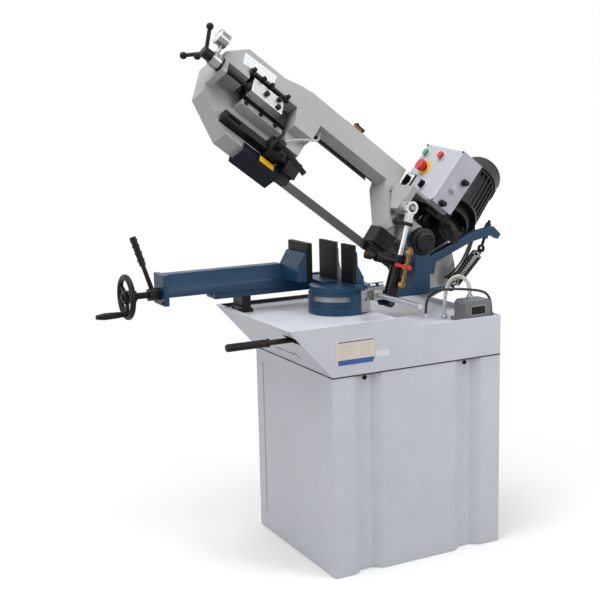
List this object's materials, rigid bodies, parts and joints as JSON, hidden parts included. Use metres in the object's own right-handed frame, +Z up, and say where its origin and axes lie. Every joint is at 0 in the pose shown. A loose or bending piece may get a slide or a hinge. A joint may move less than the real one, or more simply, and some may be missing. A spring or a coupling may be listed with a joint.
{
  "type": "metal_band_saw",
  "caption": "Metal cutting mitre band saw with a tilting bow, leaning blade, screw vise and damper, on a sheet steel stand",
  "frame": {"origin": "centre of the four floor anchor holes, on the floor under the stand", "axes": "+Z up, +X to the operator's right, -Y towards the operator at the vise handwheel"},
  "size_m": [0.77, 1.5276, 1.6416],
  "materials": {
    "sheet_grey": "light grey powder coat on folded sheet",
    "cast_grey": "light grey enamel on a casting",
    "machine_blue": "steel blue enamel",
    "machined_steel": "ground steel",
    "black_oxide": "blackened hardened steel",
    "wheel_iron": "turned grey iron",
    "black_paint": "black satin paint",
    "guard_navy": "dark blue paint",
    "block_aluminium": "milled aluminium",
    "black_plastic": "black moulded plastic",
    "pump_grey": "dark grey moulded plastic",
    "valve_brass": "plain brass",
    "red_plastic": "glossy red",
    "green_plastic": "glossy green",
    "clear_hose": "clear vinyl hose",
    "cable_rubber": "black cable sheath"
  },
  "bodies": {
    "base": {"stand_cabinet": "sheet_grey", "front_panel": "sheet_grey", "chip_tray": "sheet_grey", "base_pedestal": "machine_blue", "vise_bed": "machine_blue", "vise_support": "black_paint", "fixed_jaw_plates": "black_oxide", "fixed_jaw_blocks": "machine_blue", "stop_rod": "machined_steel", "coolant_pump": "pump_grey", "coolant_tank": "pump_grey", "pump_hose": "clear_hose", "pump_cable": "cable_rubber"},
    "mitre_lock": {"lock_lever": "black_paint"},
    "stop": {"length_stop": "machined_steel"},
    "vise_slide": {"vise_slide_body": "machine_blue", "moving_jaw_plate": "black_oxide"},
    "vise_wheel": {"vise_screw": "machined_steel", "vise_handwheel": "black_paint"},
    "crank_grip": {"handwheel_grip": "black_plastic"},
    "quick_lever": {"quick_clamp_lever": "black_paint"},
    "swivel": {"swivel_arm": "machine_blue", "pivot_shaft": "machined_steel", "counter_spring": "black_paint"},
    "damper_barrel": {"damper_cylinder": "black_paint", "damper_valve": "valve_brass"},
    "damper_piston": {"damper_rod": "machined_steel"},
    "feed_dial": {"feed_knob": "black_plastic"},
    "cock_handle": {"valve_handle": "red_plastic"},
    "bow": {"bow_casting": "cast_grey", "wheel_covers": "cast_grey", "saw_blade": "machined_steel", "rear_guide": "black_paint", "guide_clamp": "black_paint", "tension_gauge": "block_aluminium", "gearbox": "black_paint", "motor_body": "black_paint", "motor_fan_cover": "black_paint", "control_box": "cast_grey", "control_lid": "cast_grey", "spring_arm": "machine_blue", "spring_eyebolt": "black_paint", "arm_tap": "valve_brass", "guide_hose": "clear_hose", "motor_cables": "cable_rubber"},
    "tap_wing": {"tap_handle": "black_plastic"},
    "front_guide": {"front_guide_arm": "black_paint", "front_guide_block": "black_paint", "blade_guard": "guard_navy"},
    "guide_lever": {"guide_clamp_lever": "black_plastic"},
    "idler_carrier": {"tension_slide": "black_paint", "tension_block": "block_aluminium"},
    "tension_star": {"tension_handle": "black_paint"},
    "idler": {"idler_wheel": "wheel_iron"},
    "drive": {"drive_wheel": "wheel_iron"},
    "start": {"start_button": "green_plastic"},
    "stop_push": {"stop_button": "red_plastic"},
    "estop": {"estop_button": "red_plastic"},
    "main_knob": {"main_switch": "black_plastic"},
    "speed_knob": {"speed_selector": "black_plastic"}
  },
  "joints": [
    {"name": "mitre_swivel", "type": "hinge", "parent": "base", "child": "swivel", "pos_m": [0, -0.13, 0.812], "axis": [0, 0, 1], "range_deg": [0, 45]},
    {"name": "bow_tilt", "type": "hinge", "parent": "swivel", "child": "bow", "pos_m": [0, 0.132, 0.968], "axis": [1, 0, 0], "range_deg": [-4, 36.8], "deforming": ["counter_spring"]},
    {"name": "damper_swing", "type": "hinge", "parent": "swivel", "child": "damper_barrel", "pos_m": [0.104, -0.012, 0.792], "axis": [1, 0, 0], "range_deg": [-3, 11]},
    {"name": "damper_stroke", "type": "slide", "parent": "damper_barrel", "child": "damper_piston", "axis": [0, 0.2861, 0.9582], "range_m": [-0.0673, 0.0082]},
    {"name": "feed_knob_turn", "type": "hinge", "parent": "damper_barrel", "child": "feed_dial", "pos_m": [0.104, -0.03478, 0.93239], "axis": [0, -0.9582, 0.2861], "range_deg": [-150, 150]},
    {"name": "cock_turn", "type": "hinge", "parent": "damper_barrel", "child": "cock_handle", "pos_m": [0.155, 0.03039, 0.90249], "axis": [1, 0, 0], "range_deg": [-90, 0]},
    {"name": "vise_travel", "type": "slide", "parent": "base", "child": "vise_slide", "axis": [0, 1, 0], "range_m": [-0.088, 0.0715]},
    {"name": "vise_screw_turn", "type": "hinge", "parent": "vise_slide", "child": "vise_wheel", "pos_m": [-0.175, -0.766, 0.842], "axis": [0, 1, 0], "continuous": true},
    {"name": "crank_grip_spin", "type": "hinge", "parent": "vise_wheel", "child": "crank_grip", "pos_m": [-0.175, -0.821, 0.79], "axis": [0, -1, 0], "continuous": true},
    {"name": "quick_lever_turn", "type": "hinge", "parent": "vise_slide", "child": "quick_lever", "pos_m": [-0.175, -0.6793, 0.842], "axis": [0, 1, 0], "range_deg": [-50, 0]},
    {"name": "mitre_lock_swing", "type": "hinge", "parent": "base", "child": "mitre_lock", "pos_m": [0.213, -0.29, 0.738], "axis": [0, 0, 1], "range_deg": [-12, 12]},
    {"name": "stop_travel", "type": "slide", "parent": "base", "child": "stop", "axis": [1, 0, 0], "range_m": [-0.08, 0.2]},
    {"name": "drive_spin", "type": "hinge", "parent": "bow", "child": "drive", "pos_m": [-0.10285, 0.2232, 0.92296], "axis": [0.766, 0.385, 0.5147], "continuous": true},
    {"name": "tension_travel", "type": "slide", "parent": "bow", "child": "idler_carrier", "axis": [0, -0.8007, 0.599], "range_m": [-0.01, 0]},
    {"name": "idler_spin", "type": "hinge", "parent": "idler_carrier", "child": "idler", "pos_m": [-0.10285, -0.38296, 1.37643], "axis": [0.766, 0.385, 0.5147], "continuous": true},
    {"name": "tension_star_turn", "type": "hinge", "parent": "bow", "child": "tension_star", "pos_m": [-0.02824, -0.54465, 1.55927], "axis": [0, -0.8007, 0.599], "range_deg": [-902, 2]},
    {"name": "front_guide_travel", "type": "slide", "parent": "bow", "child": "front_guide", "axis": [0, -0.8007, 0.599], "range_m": [-0.1, 0]},
    {"name": "guide_lever_turn", "type": "hinge", "parent": "bow", "child": "guide_lever", "pos_m": [0.03434, -0.3468, 1.2812], "axis": [0.766, 0.385, 0.5147], "range_deg": [-30, 40]},
    {"name": "start_press", "type": "slide", "parent": "bow", "child": "start", "axis": [0, 0.8007, -0.599], "range_m": [0, 0.003], "stiffness_N_per_m": 400, "springref_m": -0.002},
    {"name": "stop_press", "type": "slide", "parent": "bow", "child": "stop_push", "axis": [0, 0.8007, -0.599], "range_m": [0, 0.003], "stiffness_N_per_m": 400, "springref_m": -0.002},
    {"name": "estop_press", "type": "slide", "parent": "bow", "child": "estop", "axis": [0, 0.8007, -0.599], "range_m": [0, 0.006], "stiffness_N_per_m": 500, "springref_m": -0.003},
    {"name": "main_switch_turn", "type": "hinge", "parent": "bow", "child": "main_knob", "pos_m": [-0.12344, 0.21049, 1.14303], "axis": [0, -0.8007, 0.599], "range_deg": [-90, 0]},
    {"name": "speed_selector_turn", "type": "hinge", "parent": "bow", "child": "speed_knob", "pos_m": [-0.02785, 0.20517, 1.13593], "axis": [0, -0.8007, 0.599], "range_deg": [-45, 45]},
    {"name": "tap_turn", "type": "hinge", "parent": "bow", "child": "tap_wing", "pos_m": [-0.17348, 0.04362, 1.32564], "axis": [0.6428, -0.4589, -0.6134], "range_deg": [0, 90]}
  ],
  "couplings": [
    {"joint": "damper_swing", "follows": "bow_tilt", "ratio": 0.262},
    {"joint": "damper_stroke", "follows": "bow_tilt", "m_per_rad": -0.1032},
    {"joint": "vise_screw_turn", "follows": "vise_travel", "rad_per_m": 785.4},
    {"joint": "idler_spin", "follows": "drive_spin", "ratio": 1},
    {"joint": "tension_star_turn", "follows": "tension_travel", "rad_per_m": 1570.8}
  ]
}
